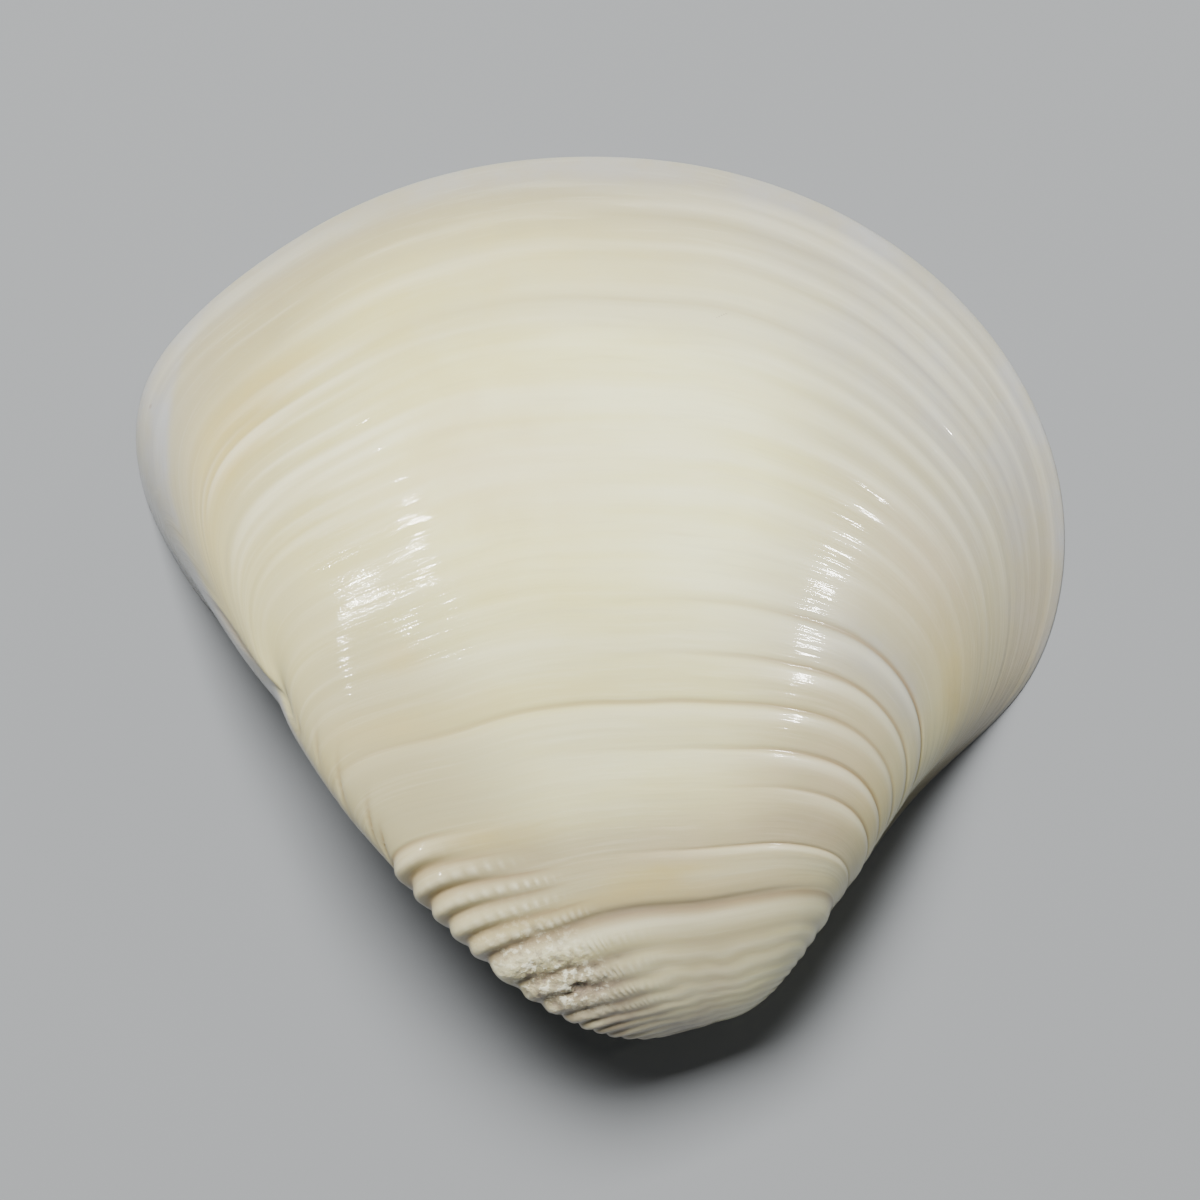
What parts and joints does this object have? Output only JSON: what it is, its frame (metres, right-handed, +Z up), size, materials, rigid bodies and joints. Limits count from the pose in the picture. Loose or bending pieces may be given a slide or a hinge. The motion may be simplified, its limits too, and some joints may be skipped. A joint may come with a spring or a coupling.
{
  "type": "bivalve shell valve",
  "caption": "One empty left valve of a West Indian pointed venus clam, bleached and worn by the beach, lying on its rim with the ribbed umbo, the knobbed keel and the hinge teeth modelled",
  "frame": {"origin": "On the plane of the open rim, under the middle of the bounding box.", "axes": "+X runs along the shell's length to its front end, -X to the pointed back end. +Y runs from the beak to the open lower edge. +Z is up, out of the bulging outside."},
  "size_m": [0.0322, 0.0304, 0.0095],
  "materials": {
    "shell": "smooth, cream-white and softly glossy shell, which takes the place of lime shell in the material list"
  },
  "bodies": {
    "root": {"left_valve": "shell"}
  },
  "joints": []
}
